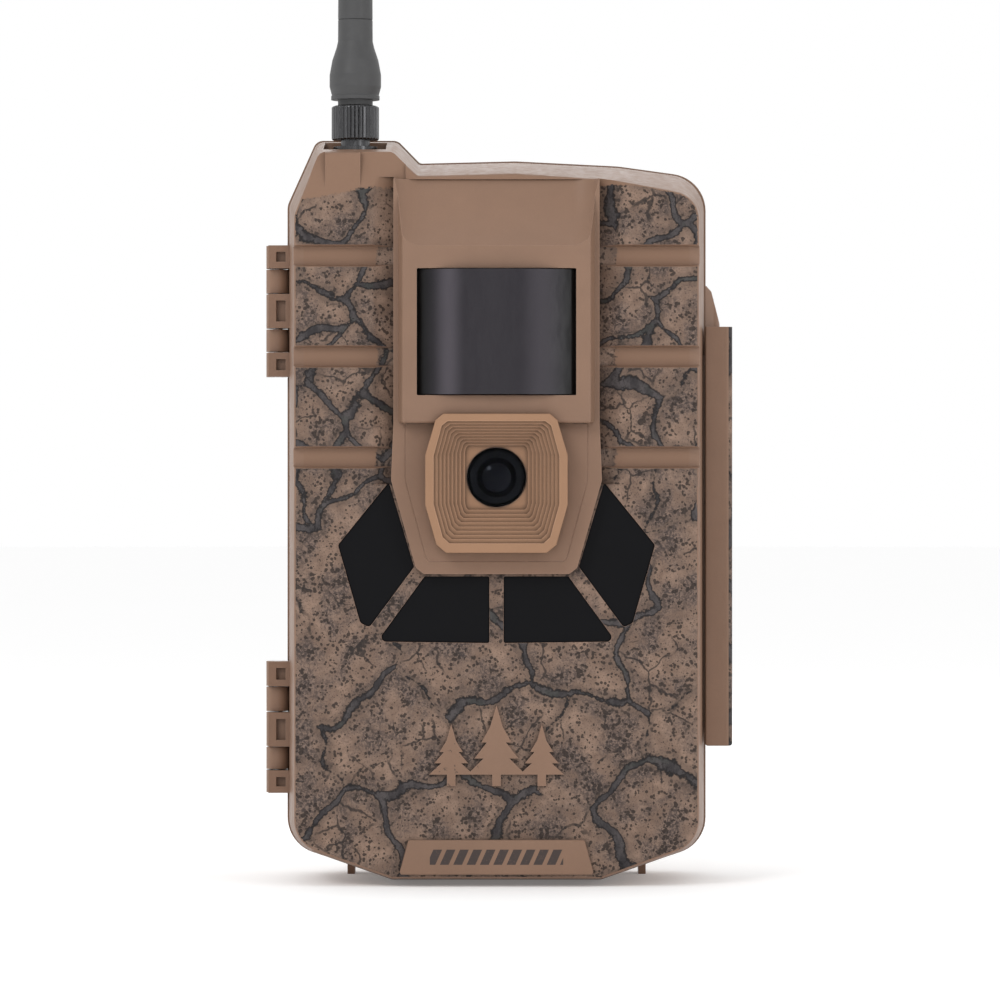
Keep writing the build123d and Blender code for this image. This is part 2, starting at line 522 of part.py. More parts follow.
# ---------------------------------------------------------------- raised badge and plaque
with BuildPart() as emblem:
    for x, tall in ((-9.5, 13.0), (0.0, 17.0), (9.5, 13.0)):
        half = tall * 0.36
        tree = [(x - 0.9, 21.2), (x + 0.9, 21.2), (x + 0.9, 23.6)]
        right = []
        for tier in range(3):
            base = 23.6 + tier * (tall - 3.5) / 4
            right += [(x + half * (1 - 0.24 * tier), base), (x + half * (0.45 - 0.12 * tier), base + (tall - 3.5) / 4)]
        tree += right + [(x, 21.2 + tall)] + [(2 * x - u, v) for u, v in reversed(right)] + [(x - 0.9, 23.6)]
        prism(sharp(facing(PAD_Y), tree), 0.8)
save(emblem, "emblem")

with BuildPart() as lower_plaque:
    prism(outline(facing(PAD_Y), PLAQUE), 1.2)
    fillet(lower_plaque.faces().sort_by(Axis.Y)[0].edges(), radius=0.3)
save(lower_plaque, "lower_plaque")

# ---------------------------------------------------------------- electronics
with BuildPart() as main_board:
    block((-36, 36), (BOARD_FRONT_Y, BOARD_BACK_Y), (42.0, 141.0))
save(main_board, "main_board")

with BuildPart() as modem_module:
    block((-32, -16), (-24.4, BOARD_FRONT_Y), (99.0, 128.0))
save(modem_module, "modem_module")

with BuildPart() as sma_jack:
    rod("z", (ANTENNA_X, ANTENNA_Y), 4.7, (JACK_SEAT_Z, JACK_SEAT_Z + 0.9))
    rod("z", (ANTENNA_X, ANTENNA_Y), JACK_R, (147.0, 162.6))
    rod("z", (ANTENNA_X, ANTENNA_Y), 1.2, (159.0, 163.0), mode=Mode.SUBTRACT)
save(sma_jack, "sma_jack")

with BuildPart() as coax_pigtail:
    with BuildLine() as coax_path:
        FilletPolyline((ANTENNA_X, ANTENNA_Y, 147.0), (ANTENNA_X, ANTENNA_Y, 138.0),
                       (-24.0, -23.2, 133.0), (-24.0, -23.2, 128.0), radius=[4.0, 4.0])
    with BuildSketch(Plane.XY.offset(147.0)) as coax_section:
        with Locations((ANTENNA_X, ANTENNA_Y)):
            Circle(0.7)
    sweep(sections=coax_section.sketch, path=coax_path.wires()[0])
save(coax_pigtail, "coax_pigtail")

# ---------------------------------------------------------------- inner panel
panel_rim = shrink(outline(facing(PANEL_Y), COVER_RIM), WALL + 0.3)
low_rim = shrink(outline(facing(LOW_PANEL_Y), between(COVER_RIM, COVER_FACE, 0.5)), WALL + 0.5)
with BuildPart() as inner_panel:
    prism(panel_rim, PANEL_THICK)
    block((-50, 50), (-20, 0), (-5, STEP_Z), mode=Mode.SUBTRACT)
    prism(low_rim, PANEL_THICK)
    block((-50, 50), (-30, -20), (STEP_Z, 170), mode=Mode.SUBTRACT)
    block((-40.2, 40.2), (LOW_PANEL_Y - PANEL_THICK, PANEL_Y), (STEP_Z - PANEL_THICK, STEP_Z))
    # Display opening with a rebate for its clear window
    block((-24.5, 24.5), (-16.0, -13.0), (91.0, 127.0), mode=Mode.SUBTRACT)
    block((-26.5, 26.5), (PANEL_Y - 0.9, -13.0), (89.0, 129.0), mode=Mode.SUBTRACT)
    for x, z, radius in BUTTONS.values():
        rod("y", (x, z), radius + BUTTON_PLAY, (-16.0, -13.0), mode=Mode.SUBTRACT)
    for x, z in PANEL_SCREWS:
        rod("y", (x, z), 1.3, (-16.0, -13.0), mode=Mode.SUBTRACT)
        rod("y", (x, z), 2.5, (PANEL_Y - 0.9, -13.0), mode=Mode.SUBTRACT)
    for z in POWER_PINS:
        rod("y", (-35.2, z), 1.1, (-16.0, -13.0), mode=Mode.SUBTRACT)
    # Slots of the two cards and the cable port, and of the power slider
    block((9.8, 34.2), (-24.2, -21.7), (38.0, 40.5), mode=Mode.SUBTRACT)
    block((-8.2, 7.2), (-23.3, -21.9), (38.0, 40.5), mode=Mode.SUBTRACT)
    block((-22.0, -13.0), (-24.3, -21.3), (38.0, 40.5), mode=Mode.SUBTRACT)
    block((-29.4, -19.6), (-27.0, -24.0), (20.4, 25.6), mode=Mode.SUBTRACT)
save(inner_panel, "inner_panel")

with BuildPart() as panel_screws:
    for x, z in PANEL_SCREWS:
        rod("y", (x, z), 1.2, (-26.0, PANEL_Y - 0.9))
        rod("y", (x, z), 2.2, (PANEL_Y - 0.9, PANEL_Y))
        block((x - 0.35, x + 0.35), (PANEL_Y - 0.5, -13.5), (z - 1.4, z + 1.4), mode=Mode.SUBTRACT)
        block((x - 1.4, x + 1.4), (PANEL_Y - 0.5, -13.5), (z - 0.35, z + 0.35), mode=Mode.SUBTRACT)
save(panel_screws, "panel_screws")

with BuildPart() as display:
    block((-28, 28), (BOARD_BACK_Y, PANEL_Y - PANEL_THICK), (88.0, 130.0))
save(display, "display")

with BuildPart() as display_window:
    block((-26.4, 26.4), (PANEL_Y - 0.9, PANEL_Y), (89.1, 128.9))
save(display_window, "display_window")

with BuildPart() as sd_socket:
    block((8.4, 35.6), (-25.2, BOARD_FRONT_Y), (42.0, 71.0))
    block((9.8, 34.2), (-24.2, -21.7), (41.0, 69.6), mode=Mode.SUBTRACT)
save(sd_socket, "sd_socket")

with BuildPart() as sd_card:
    prism(sharp(facing(-21.9), [(10, 36.4), (34, 36.4), (34, 68.4), (14, 68.4), (10, 64.4)]), 2.1)
save(sd_card, "sd_card")

with BuildPart() as sim_socket:
    block((-9.4, 8.2), (-24.2, BOARD_FRONT_Y), (42.0, 65.0))
    block((-8.2, 7.2), (-23.3, -21.9), (41.0, 63.6), mode=Mode.SUBTRACT)
save(sim_socket, "sim_socket")

with BuildPart() as sim_card:
    prism(sharp(facing(-22.2), [(-8, 37.2), (7, 37.2), (7, 62.2), (-5, 62.2), (-8, 59.2)]), 0.8)
save(sim_card, "sim_card")

with BuildPart() as usb_port:
    block((-21.8, -13.2), (-24.2, BOARD_FRONT_Y), (42.0, 48.0))
    block((-21.2, -13.8), (-23.8, -21.8), (41.0, 47.4), mode=Mode.SUBTRACT)
    block((-20.0, -15.0), (-23.1, -22.5), (43.0, 47.6))
save(usb_port, "usb_port")

with BuildPart() as dome_switches:
    for x, z, radius in BUTTONS.values():
        rod("y", (x, z), 2.4, (BOARD_BACK_Y, BOARD_BACK_Y + 0.8))
save(dome_switches, "dome_switches")

with BuildPart() as contact_pins:
    for z in POWER_PINS:
        rod("y", (-35.2, z), 1.5, (BOARD_BACK_Y, -16.5))
        rod("y", (-35.2, z), 0.9, (-16.5, -8.6))
save(contact_pins, "contact_pins")

# ---------------------------------------------------------------- keys and switch
for label, (x, z, radius) in BUTTONS.items():
    with BuildPart() as button:
        rod("y", (x, z), radius, (-18.2, -13.3))
        fillet(button.edges().filter_by(GeomType.CIRCLE).sort_by(Axis.Y)[-1], radius=0.4)
        rod("y", (x, z), radius + 0.6, (-17.4, -16.0))
    save(button, label)

with BuildPart() as power_switch:
    block((-29.0, -24.0), (-26.9, -21.6), (20.5, 25.5))
    fillet(power_switch.edges().filter_by_position(Axis.Y, -21.6, -21.6), radius=0.4)
    for x in (-27.7, -26.5, -25.3):
        block((x - 0.3, x + 0.3), (-22.0, -21.0), (20.0, 26.0), mode=Mode.SUBTRACT)
    block((-30.0, -23.0), (-27.4, -26.5), (19.5, 26.5))
save(power_switch, "power_switch")

# ---------------------------------------------------------------- antenna
with BuildPart() as antenna_nut:
    rod("z", (ANTENNA_X, ANTENNA_Y), NUT_R, (NUT_LOW, NUT_HIGH))
    fillet(antenna_nut.edges().filter_by(GeomType.CIRCLE), radius=0.5)
    rod("z", (ANTENNA_X, ANTENNA_Y), JACK_R + 0.05, (NUT_LOW, 163.4), mode=Mode.SUBTRACT)
    rod("z", (ANTENNA_X, ANTENNA_Y), 2.05, (163.0, NUT_HIGH), mode=Mode.SUBTRACT)
    with Locations((ANTENNA_X, ANTENNA_Y, (NUT_LOW + NUT_HIGH) / 2)):
        with PolarLocations(NUT_R + 0.1, 36):
            Box(0.42, 0.42, NUT_HIGH - NUT_LOW, rotation=(0, 0, 45), mode=Mode.SUBTRACT)
save(antenna_nut, "antenna_nut")

with BuildPart() as antenna_whip:
    with BuildSketch(Plane.XZ.offset(-ANTENNA_Y)) as whip_section:
        with BuildLine():
            Polyline((ANTENNA_X, 162.75), (ANTENNA_X + 2.7, 162.75), (ANTENNA_X + 2.7, 163.3),
                     (ANTENNA_X + 2.0, 163.3), (ANTENNA_X + 2.0, 165.0), (ANTENNA_X + 3.7, 165.0),
                     (ANTENNA_X + 3.7, 166.2), (ANTENNA_X + 5.15, 166.2), (ANTENNA_X + 5.15, 167.0),
                     (ANTENNA_X + 5.0, 167.2), (ANTENNA_X + 5.47, 169.0), (ANTENNA_X + 5.47, 171.5),
                     (ANTENNA_X + 4.9, 174.6), (ANTENNA_X + 4.0, 177.3), (ANTENNA_X + 3.7, 178.6),
                     (ANTENNA_X + 3.67, 183.1), (ANTENNA_X + 3.5, 183.2), (ANTENNA_X + 3.67, 183.3),
                     (ANTENNA_X + 3.0, ANTENNA_TOP), (ANTENNA_X, ANTENNA_TOP), close=True)
        make_face()
    revolve(axis=Axis((ANTENNA_X, ANTENNA_Y, 0), (0, 0, 1)), revolution_arc=360)
    fillet(antenna_whip.edges().sort_by(Axis.Z)[-1], radius=2.4)
save(antenna_whip, "antenna_whip")
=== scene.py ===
import math
import random

import bmesh
import bpy
import numpy as np
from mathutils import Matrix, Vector


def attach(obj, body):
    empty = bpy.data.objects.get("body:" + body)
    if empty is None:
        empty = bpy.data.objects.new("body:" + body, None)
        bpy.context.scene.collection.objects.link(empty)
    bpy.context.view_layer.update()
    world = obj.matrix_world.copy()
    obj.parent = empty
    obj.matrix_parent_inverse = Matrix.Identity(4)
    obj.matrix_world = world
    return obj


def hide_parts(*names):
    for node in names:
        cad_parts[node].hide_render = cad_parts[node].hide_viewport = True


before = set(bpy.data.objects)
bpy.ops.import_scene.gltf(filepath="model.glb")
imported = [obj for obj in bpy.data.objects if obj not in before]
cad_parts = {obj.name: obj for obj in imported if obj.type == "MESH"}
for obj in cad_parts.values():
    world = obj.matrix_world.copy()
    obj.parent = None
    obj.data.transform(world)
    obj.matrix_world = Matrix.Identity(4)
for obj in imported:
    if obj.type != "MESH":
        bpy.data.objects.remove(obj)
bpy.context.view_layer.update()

MM = 0.001


# ------------------------------------------------------------------ node graph helpers
class Graph:
    """A material's node tree, with short calls for the nodes used here."""

    def __init__(self, name):
        self.material = bpy.data.materials.new(name)
        self.material.use_nodes = True
        self.tree = self.material.node_tree
        self.tree.nodes.clear()
        self.out = self.tree.nodes.new("ShaderNodeOutputMaterial")
        self.shader = self.tree.nodes.new("ShaderNodeBsdfPrincipled")
        self.tree.links.new(self.shader.outputs[0], self.out.inputs[0])
        coordinates = self.tree.nodes.new("ShaderNodeTexCoord")
        scale = self.tree.nodes.new("ShaderNodeVectorMath")
        scale.operation = "SCALE"
        scale.inputs["Scale"].default_value = 1000.0
        self.tree.links.new(coordinates.outputs["Object"], scale.inputs[0])
        self.mm = scale.outputs[0]

    def put(self, socket, value):
        if isinstance(value, bpy.types.NodeSocket):
            self.tree.links.new(value, socket)
        elif isinstance(value, (tuple, list)) and len(value) == 3 and socket.type == "RGBA":
            socket.default_value = (*value, 1.0)
        else:
            socket.default_value = value

    def noise(self, size, detail=3.0, rough=0.5, where=None):
        """Noise with features of about size mm, 0 to 1."""
        n = self.tree.nodes.new("ShaderNodeTexNoise")
        n.inputs["Scale"].default_value = 1.0 / size
        n.inputs["Detail"].default_value = detail
        n.inputs["Roughness"].default_value = rough
        self.put(n.inputs["Vector"], where or self.mm)
        return n.outputs["Fac"]

    def wander(self, size, amount, where=None):
        """Coordinates pushed about by up to amount mm."""
        n = self.tree.nodes.new("ShaderNodeTexNoise")
        n.inputs["Scale"].default_value = 1.0 / size
        n.inputs["Detail"].default_value = 3.0
        self.put(n.inputs["Vector"], where or self.mm)
        a = self.tree.nodes.new("ShaderNodeVectorMath")
        a.operation = "MULTIPLY_ADD"
        self.put(a.inputs[0], n.outputs["Color"])
        a.inputs[1].default_value = (amount * 2, amount * 2, amount * 2)
        self.put(a.inputs[2], where or self.mm)
        return a.outputs[0]

    def stretched(self, factors, where=None):
        n = self.tree.nodes.new("ShaderNodeVectorMath")
        n.operation = "MULTIPLY"
        self.put(n.inputs[0], where or self.mm)
        n.inputs[1].default_value = factors
        return n.outputs[0]

    def cells(self, size, feature="F1", output="Distance", where=None, randomness=1.0):
        n = self.tree.nodes.new("ShaderNodeTexVoronoi")
        n.feature = feature
        n.inputs["Scale"].default_value = 1.0 / size
        n.inputs["Randomness"].default_value = randomness
        self.put(n.inputs["Vector"], where or self.mm)
        return n.outputs[output]

    def math(self, operation, a, b=0.0, c=0.0, clamp=False):
        n = self.tree.nodes.new("ShaderNodeMath")
        n.operation = operation
        n.use_clamp = clamp
        for socket, value in zip(n.inputs, (a, b, c)):
            self.put(socket, value)
        return n.outputs[0]

    def span(self, value, low, high, to_low=0.0, to_high=1.0, smooth=True):
        """Value from low..high mapped to to_low..to_high, held at the ends."""
        n = self.tree.nodes.new("ShaderNodeMapRange")
        n.interpolation_type = "SMOOTHSTEP" if smooth else "LINEAR"
        for name, v in (("Value", value), ("From Min", low), ("From Max", high),
                        ("To Min", to_low), ("To Max", to_high)):
            self.put(n.inputs[name], v)
        return n.outputs[0]

    def mix(self, share, a, b, mode="MIX"):
        n = self.tree.nodes.new("ShaderNodeMix")
        n.data_type = "RGBA"
        n.blend_type = mode
        n.clamp_factor = True
        self.put(n.inputs["Factor"], share)
        self.put([s for s in n.inputs if s.name == "A" and s.type == "RGBA"][0], a)
        self.put([s for s in n.inputs if s.name == "B" and s.type == "RGBA"][0], b)
        return [s for s in n.outputs if s.type == "RGBA"][0]

    def axis(self, which, where=None):
        n = self.tree.nodes.new("ShaderNodeSeparateXYZ")
        self.put(n.inputs[0], where or self.mm)
        return n.outputs[which]

    def attribute(self, name):
        n = self.tree.nodes.new("ShaderNodeAttribute")
        n.attribute_name = name
        return n.outputs["Fac"]

    def rounded(self, radius):
        """Normal that runs softly over sharp moulded edges, radius in mm."""
        n = self.tree.nodes.new("ShaderNodeBevel")
        n.samples = 4
        n.inputs["Radius"].default_value = radius * MM
        return n.outputs[0]

    def edge_highlight_mask(self, radius):
        """Mask for a painted highlight along edges: 1 along sharp edges, 0 on flat faces, radius in mm."""
        geometry = self.tree.nodes.new("ShaderNodeNewGeometry")
        dot = self.tree.nodes.new("ShaderNodeVectorMath")
        dot.operation = "DOT_PRODUCT"
        self.put(dot.inputs[0], self.rounded(radius))
        self.put(dot.inputs[1], geometry.outputs["Normal"])
        edge = self.span(dot.outputs["Value"], 0.80, 0.985, 1.0, 0.0)
        return self.math("MULTIPLY", edge, self.span(self.sheltered(1.6), 0.45, 0.80))

    def sheltered(self, reach):
        """1 in the open, towards 0 in corners and gaps, reach in mm."""
        n = self.tree.nodes.new("ShaderNodeAmbientOcclusion")
        n.samples = 6
        n.inputs["Distance"].default_value = reach * MM
        return n.outputs["AO"]

    def bump(self, height, depth, normal=None, strength=1.0):
        """Bump of depth mm for a height of 0 to 1."""
        n = self.tree.nodes.new("ShaderNodeBump")
        n.inputs["Strength"].default_value = strength
        n.inputs["Distance"].default_value = depth * MM
        self.put(n.inputs["Height"], height)
        if normal is not None:
            self.put(n.inputs["Normal"], normal)
        return n.outputs[0]

    def surface(self, color, roughness, normal=None, metallic=0.0, specular=0.5, coat=0.0, coat_roughness=0.1,
                sheen=0.0):
        s = self.shader.inputs
        self.put(s["Base Color"], color)
        self.put(s["Roughness"], roughness)
        s["Metallic"].default_value = metallic
        s["Specular IOR Level"].default_value = specular
        s["Coat Weight"].default_value = coat
        s["Coat Roughness"].default_value = coat_roughness
        s["Sheen Weight"].default_value = sheen
        if normal is not None:
            self.put(s["Normal"], normal)
        return self.material


def tint(color, factor):
    return tuple(c * factor for c in color)


# ------------------------------------------------------------------ materials
def moulded_plastic(name, color, roughness=0.5, grain=0.22, depth=0.012, edge=0.25, uneven=0.10,
                    specular=0.30, corner_shade=0.36, reach=2.2, painted_edge_highlight=0.70, marks_and_painted_light=None):
    """Fine-textured injection moulding: soft mottling, faint rub marks, rounded edges that catch light, with a
    painted highlight along edges and painted shade in corners.
    """
    g = Graph(name)
    broad = g.noise(24.0, 3.0, 0.55)
    patch = g.noise(5.0, 4.0, 0.6)
    fine = g.noise(grain, 2.0, 0.6)
    tone = g.math("ADD", g.span(broad, 0.3, 0.7, -uneven, uneven, False),
                  g.span(patch, 0.3, 0.7, -0.035, 0.035, False))
    shade = g.mix(g.math("ADD", tone, 0.5), tint(color, 0.72), tint(color, 1.28))
    shade = g.mix(g.span(fine, 0.35, 0.75, 0.0, 0.16), shade, tint(color, 0.7))
    # Painted highlight: sharp edges lightened towards a pale tint
    if painted_edge_highlight:
        pale = tuple(min(c * 1.45 + 0.05, 1.0) for c in color)
        shade = g.mix(g.math("MULTIPLY", g.edge_highlight_mask(0.28), painted_edge_highlight), shade, pale)
    # Painted shade: corners and gaps darkened by ambient occlusion over reach mm
    if corner_shade:
        shade = g.mix(g.span(g.sheltered(reach), 0.25, 0.95, corner_shade, 0.0, False), shade, tint(color, 0.28))
    # Marks for badge and plaque; painted shadow and highlight for the motion window film
    if marks_and_painted_light:
        shade = marks_and_painted_light(g, shade)
    scuff = g.noise(1.6, 4.0, 0.7, where=g.stretched((1.0, 1.0, 0.25)))
    rough = g.span(scuff, 0.35, 0.7, roughness - 0.05, roughness + 0.08)
    normal = g.bump(fine, depth, g.rounded(edge))
    return g.surface(shade, rough, normal, specular=specular)


def plaque_marks(g, shade):
    """Row of plain slanted dark bars, all alike."""
    x, z = g.axis(0), g.axis(2)
    row = g.math("MULTIPLY", g.math("LESS_THAN", g.math("ABSOLUTE", x), 14.0),
                 g.math("LESS_THAN", g.math("ABSOLUTE", g.math("SUBTRACT", z, 6.3)), 1.6))
    lean = g.math("FRACT", g.math("DIVIDE", g.math("ADD", x, g.math("MULTIPLY", z, -0.45)), 2.8))
    bar = g.math("MULTIPLY", row, g.math("LESS_THAN", lean, 0.66))
    wear = g.span(g.noise(0.5, 3.0, 0.7), 0.30, 0.45, 0.80, 1.0)
    return g.mix(g.math("MULTIPLY", g.math("MULTIPLY", bar, wear), 0.88), shade, (0.028, 0.024, 0.026))


def chipped(g, shade):
    """Small dark chips along one side of the badge."""
    chance = g.math("ADD", g.noise(1.5, 4.0, 0.65), g.span(g.axis(0), -14.0, 2.0, 0.07, -0.06))
    return g.mix(g.span(chance, 0.655, 0.675, 0.0, 0.8), shade, (0.060, 0.040, 0.034))


def film_painted_shadow_and_highlight(g, shade):
    """Painted light on the curved film: a painted shadow darkens it towards both upright ends, and two soft
    upright painted highlights lie on it.
    """
    x = g.axis(0)
    # Painted shadow: the film darkened towards both upright ends
    ends = g.span(g.math("ABSOLUTE", x), 11.5, 16.2, 0.0, 1.0)
    # Painted highlight: two soft upright streaks, the left one stronger
    sheen = g.span(g.math("ABSOLUTE", g.math("ADD", x, 10.0)), 0.0, 3.6, 1.0, 0.0)
    other = g.span(g.math("ABSOLUTE", g.math("SUBTRACT", x, 9.0)), 0.0, 4.5, 0.45, 0.0)
    shade = g.mix(g.math("MULTIPLY", g.math("MAXIMUM", sheen, other), 0.60), shade, (0.090, 0.080, 0.094))
    return g.mix(ends, shade, (0.001, 0.001, 0.001))


def camo_print(name, plain, crack_attribute=True):
    """Print of dry cracked mud: speckled tan plates, grey weathering, slate cracks with dark lips."""
    g = Graph(name)
    ragged = g.noise(1.9, 4.0, 0.6)
    fray = g.noise(0.55, 3.0, 0.6)
    if crack_attribute:
        d = g.attribute("crack")
    else:
        cell = g.cells(11.0, "DISTANCE_TO_EDGE", where=g.stretched((1.0, 1.0, 0.7), g.wander(7.0, 2.2)))
        gate = g.noise(14.0, 2.0)
        d = g.math("SUBTRACT", g.math("MULTIPLY", cell, 11.0), g.span(gate, 0.4, 0.62, 0.15, 1.1))
    d = g.math("ADD", d, g.span(ragged, 0.3, 0.7, -0.42, 0.42, False))
    d = g.math("ADD", d, g.span(fray, 0.3, 0.7, -0.16, 0.16, False))

    # Plates: tan to brown, with greyer weathered fields
    field = g.noise(8.5, 3.0, 0.55, where=g.wander(12.0, 3.0))
    field2 = g.noise(4.2, 4.0, 0.6)
    plate = g.mix(g.span(field2, 0.32, 0.68), (0.165, 0.108, 0.080), (0.275, 0.183, 0.135))
    grain = g.noise(0.62, 4.0, 0.72, where=g.wander(2.0, 0.5))
    grain2 = g.noise(0.34, 3.0, 0.7)
    both_fields = g.math("ADD", g.math("MULTIPLY", field, 0.75), g.math("MULTIPLY", field2, 0.25))
    weather = g.span(both_fields, 0.43, 0.62)
    weather_mask = g.math("MULTIPLY", weather, g.span(grain, 0.42, 0.56))
    plate = g.mix(g.math("MULTIPLY", weather, 0.55), plate, (0.130, 0.098, 0.086))
    plate = g.mix(g.math("MULTIPLY", weather_mask, 0.85), plate, (0.034, 0.027, 0.027))
    # Dark specks over everything, denser where weathered
    speck_cell = g.cells(0.82)
    speck_value = g.noise(1.7, 2.0, 0.6)
    speck_size = g.math("MULTIPLY", g.span(speck_value, 0.34, 0.62), g.span(weather, 0.0, 1.0, 0.44, 0.60))
    speck = g.math("LESS_THAN", speck_cell, speck_size)
    plate = g.mix(g.math("MULTIPLY", speck, 0.86), plate, (0.024, 0.017, 0.014))
    pit = g.math("MULTIPLY", g.span(grain2, 0.54, 0.64), 0.70)
    plate = g.mix(pit, plate, (0.055, 0.038, 0.031))
    # Hairline fractures inside the plates
    hair_cell = g.cells(9.0, "DISTANCE_TO_EDGE", where=g.wander(3.0, 1.3))
    hair_gate = g.span(g.noise(10.0, 2.0), 0.50, 0.60)
    hair = g.math("MULTIPLY", g.span(hair_cell, 0.010, 0.030, 1.0, 0.0), hair_gate)
    plate = g.mix(g.math("MULTIPLY", hair, 0.85), plate, (0.026, 0.020, 0.018))
    # Lips of the cracks: a worn pale rim, then a dark shadow line
    rim = g.math("MULTIPLY", g.span(d, 0.10, 0.30), g.span(d, 0.35, 0.95, 1.0, 0.0))
    worn = g.math("MULTIPLY", rim, g.span(ragged, 0.40, 0.62, 0.0, 0.55))
    plate = g.mix(worn, plate, (0.290, 0.195, 0.142))
    plate = g.mix(g.span(d, 0.3, 1.9, 0.42, 0.0), plate, (0.050, 0.037, 0.032))
    slate_value = g.noise(2.6, 4.0, 0.6, where=g.stretched((1.0, 1.0, 0.5)))
    slate = g.mix(g.span(slate_value, 0.34, 0.66), (0.030, 0.026, 0.028), (0.074, 0.064, 0.064))
    grit = g.math("MULTIPLY", g.span(g.noise(0.5, 3.0, 0.7), 0.5, 0.62), 0.45)
    slate = g.mix(grit, slate, (0.018, 0.016, 0.017))
    slate = g.mix(g.span(g.noise(6.0, 2.0), 0.56, 0.66, 0.0, 0.35), slate, (0.046, 0.052, 0.044))
    inside = g.span(d, -0.10, 0.10, 1.0, 0.0)
    paint = g.mix(inside, plate, slate)
    lip = g.math("MULTIPLY", g.span(d, -0.42, -0.12), g.span(d, -0.02, 0.22, 1.0, 0.0))
    paint = g.mix(g.math("MULTIPLY", lip, 0.90), paint, (0.010, 0.008, 0.008))
    if crack_attribute:
        # The print fades out into plain plastic at its borders
        border = g.math("ADD", g.attribute("print"), g.span(fray, 0.3, 0.7, -0.45, 0.45, False))
        border = g.math("ADD", border, g.span(ragged, 0.3, 0.7, -0.5, 0.5, False))
        paint = g.mix(g.span(border, 0.0, 0.5), plain, paint)
    # Painted highlight: sharp edges lightened towards a pale tint over the print
    pale = tuple(c * 1.45 + 0.05 for c in plain)
    paint = g.mix(g.math("MULTIPLY", g.edge_highlight_mask(0.28), 0.6), paint, pale)
    # Painted shade: corners and gaps darkened by ambient occlusion
    paint = g.mix(g.span(g.sheltered(2.2), 0.25, 0.95, 0.34, 0.0, False), paint, tint(plain, 0.20))
    height = g.math("ADD", g.math("MULTIPLY", grain2, 0.6), g.span(d, -0.3, 0.4, 0.0, 0.5))
    normal = g.bump(height, 0.030, g.rounded(0.25))
    return g.surface(paint, g.span(grain, 0.3, 0.7, 0.50, 0.66), normal, specular=0.22)


def smooth_gloss(name, color, roughness=0.12, coat=0.6, grain=0.0, transmission=0.0, ior=1.5,
                 specular=0.5):
    g = Graph(name)
    smudge = g.noise(9.0, 4.0, 0.65)
    rough = g.span(smudge, 0.35, 0.7, roughness, roughness + 0.07)
    dust = g.math("MULTIPLY", g.span(g.noise(0.28, 2.0, 0.8), 0.70, 0.78), 0.03)
    shade = g.mix(dust, color, (0.16, 0.15, 0.14))
    normal = g.bump(g.noise(0.3, 2.0), grain, g.rounded(0.15)) if grain else g.rounded(0.15)
    m = g.surface(shade, rough, normal, coat=coat, coat_roughness=0.06, specular=specular)
    g.shader.inputs["IOR"].default_value = ior
    if transmission:
        g.shader.inputs["Transmission Weight"].default_value = transmission
    return m


def metal(name, color, roughness=0.32, brushed=(1.0, 1.0, 0.05), wear=0.2):
    g = Graph(name)
    lines = g.noise(0.16, 3.0, 0.6, where=g.stretched(brushed))
    blotch = g.noise(3.0, 4.0, 0.6)
    shade = g.mix(g.span(blotch, 0.4, 0.75, 0.0, wear), color, tint(color, 0.45))
    rough = g.span(lines, 0.3, 0.7, roughness - 0.08, roughness + 0.12)
    return g.surface(shade, rough, g.bump(lines, 0.004, g.rounded(0.1)), metallic=1.0)


def rubber(name, color, roughness=0.62, specular=0.4):
    g = Graph(name)
    fine = g.noise(0.16, 3.0, 0.7)
    dust = g.noise(4.0, 5.0, 0.65)
    shade = g.mix(g.span(dust, 0.45, 0.72, 0.0, 0.25), color, tint(color, 1.7))
    rough = g.span(dust, 0.3, 0.7, roughness - 0.05, roughness + 0.1)
    return g.surface(shade, rough, g.bump(fine, 0.008, g.rounded(0.2)), specular=specular)


def circuit_board(name):
    g = Graph(name)
    track = g.cells(2.2, "F1", "Distance", where=g.stretched((1.0, 0.2, 1.0)), randomness=0.6)
    lines = g.math("GREATER_THAN", g.math("FRACT", g.math("MULTIPLY", track, 5.0)), 0.72)
    pads = g.math("LESS_THAN", g.cells(1.6, randomness=0.2), 0.22)
    shade = g.mix(g.math("MULTIPLY", lines, 0.7), (0.010, 0.070, 0.030), (0.020, 0.150, 0.060))
    shade = g.mix(g.math("MULTIPLY", pads, 0.8), shade, (0.55, 0.45, 0.25))
    return g.surface(shade, 0.35, g.bump(lines, 0.02), coat=0.4)


def cell_wrap(name):
    """Plain grey-green battery sleeve with one pale band near the end of each cell."""
    g = Graph(name)
    row = g.math("FRACT", g.math("DIVIDE", g.math("SUBTRACT", g.axis(2), 24.0), 55.9))
    shade = g.mix(g.noise(5.0, 3.0), (0.060, 0.085, 0.078), (0.075, 0.105, 0.096))
    band = g.math("MULTIPLY", g.math("GREATER_THAN", row, 0.76), g.math("LESS_THAN", row, 0.82))
    shade = g.mix(band, shade, (0.60, 0.62, 0.58))
    shade = g.mix(g.math("GREATER_THAN", row, 0.905), shade, (0.62, 0.62, 0.62))
    return g.surface(shade, g.span(g.noise(2.0, 4.0), 0.3, 0.7, 0.26, 0.38), None, coat=0.4)


